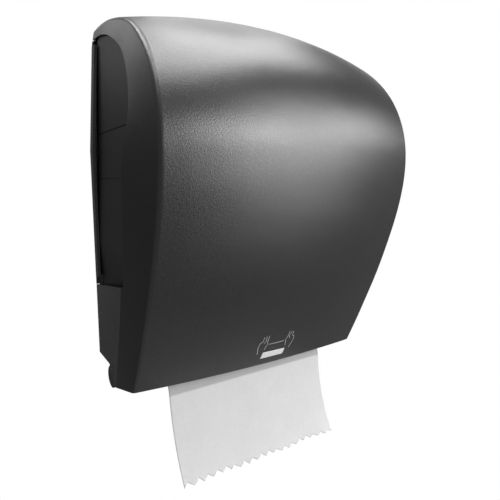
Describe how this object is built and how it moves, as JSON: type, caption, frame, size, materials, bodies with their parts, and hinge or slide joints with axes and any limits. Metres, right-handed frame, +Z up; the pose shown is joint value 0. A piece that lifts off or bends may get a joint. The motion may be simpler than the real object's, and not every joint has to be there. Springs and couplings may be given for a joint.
{
  "type": "paper towel dispenser",
  "caption": "wall-mounted pull-to-cut roll towel dispenser with a crowned hinged cover, scooped sides, a cutting drum with a swinging knife and a pinch roller",
  "frame": {"origin": "centre of the four wall screws, on the wall", "axes": "X to the right seen from the front, Y into the wall, Z up"},
  "size_m": [0.3224, 0.2142, 0.4997],
  "materials": {
    "cover_plastic": "satin black, fine-grained",
    "side_plastic": "matte black",
    "chassis_plastic": "matte dark grey",
    "drum_plastic": "matte grey",
    "grey_plastic": "matte grey",
    "knob_plastic": "matte blue",
    "steel": "bright drawn steel",
    "zinc": "zinc plated",
    "grip_rubber": "matte",
    "towel_paper": "soft grey-white tissue",
    "core_card": "brown card"
  },
  "bodies": {
    "base": {"back_plate": "chassis_plastic", "side_wall_left": "side_plastic", "side_wall_right": "side_plastic", "hinge_pins": "steel", "lock_catch": "zinc", "catch_screws": "zinc", "side_wall_screws": "zinc", "frame_screws": "zinc", "arm_screws": "zinc", "roll_arm_right": "grey_plastic", "core_plug_right": "grey_plastic", "arm_pivot_pin": "steel", "cam_ring": "grey_plastic", "frame_left": "grey_plastic", "frame_right": "grey_plastic", "frame_tie_bars": "steel", "paper_guide_bar": "steel", "drum_bushes": "drum_plastic", "pinch_pivot_pins": "steel", "pinch_springs": "steel", "spring_post": "steel", "drive_spring": "steel", "drive_box": "chassis_plastic", "drive_box_screws": "zinc", "bottom_tray": "grey_plastic", "chute_front": "grey_plastic", "stripper_comb": "drum_plastic", "towel_web": "towel_paper", "towel_tail": "towel_paper"},
    "cover": {"cover": "cover_plastic"},
    "lock": {"lock_barrel": "zinc", "lock_cam": "zinc", "lock_screw": "zinc"},
    "drum": {"drum_upper": "drum_plastic", "drum_lower": "drum_plastic", "drum_shaft": "steel", "drum_end_left": "drum_plastic", "drum_end_right": "drum_plastic", "drum_grips": "grip_rubber", "feed_knob": "knob_plastic", "crank_disc": "drum_plastic"},
    "knife": {"knife_carrier": "drum_plastic", "knife_blade": "steel", "knife_screws": "steel", "cam_follower": "grey_plastic"},
    "pinch_cradle": {"pinch_cradle": "grey_plastic"},
    "pinch_roller": {"pinch_shaft": "steel", "pinch_sleeves": "grip_rubber"},
    "roll_arm": {"roll_arm_left": "grey_plastic", "core_plug_left": "grey_plastic"},
    "roll": {"roll_core": "core_card", "towel_roll": "towel_paper"}
  },
  "joints": [
    {"name": "cover_hinge", "type": "hinge", "parent": "base", "child": "cover", "pos_m": [0, -0.0445, -0.1927], "axis": [1, 0, 0], "range_deg": [0, 85], "deforming": ["towel_tail"]},
    {"name": "lock_turn", "type": "hinge", "parent": "cover", "child": "lock", "pos_m": [0, -0.022, 0.18], "axis": [0, 0, 1], "range_deg": [0, 90]},
    {"name": "drum_spin", "type": "hinge", "parent": "base", "child": "drum", "pos_m": [0, -0.071, -0.113], "axis": [1, 0, 0], "continuous": true, "deforming": ["drive_spring"]},
    {"name": "knife_swing", "type": "hinge", "parent": "drum", "child": "knife", "pos_m": [0, -0.051, -0.137], "axis": [1, 0, 0], "range_deg": [0, 30], "deforming": ["towel_web"]},
    {"name": "pinch_lift", "type": "hinge", "parent": "base", "child": "pinch_cradle", "pos_m": [0, -0.096, -0.05], "axis": [-1, 0, 0], "range_deg": [0, 10], "stiffness_Nm_per_rad": 0.8, "springref_deg": -6.88, "deforming": ["pinch_springs"]},
    {"name": "pinch_spin", "type": "hinge", "parent": "pinch_cradle", "child": "pinch_roller", "pos_m": [0, -0.10327, -0.07454], "axis": [1, 0, 0], "continuous": true},
    {"name": "roll_spin", "type": "hinge", "parent": "base", "child": "roll", "pos_m": [0, -0.102, 0.065], "axis": [1, 0, 0], "continuous": true},
    {"name": "arm_swing", "type": "hinge", "parent": "base", "child": "roll_arm", "pos_m": [-0.119, -0.015, 0.065], "axis": [0, 0, -1], "range_deg": [0, 12], "stiffness_Nm_per_rad": 3}
  ],
  "couplings": [
    {"joint": "pinch_spin", "follows": "drum_spin", "ratio": -4.4444}
  ]
}
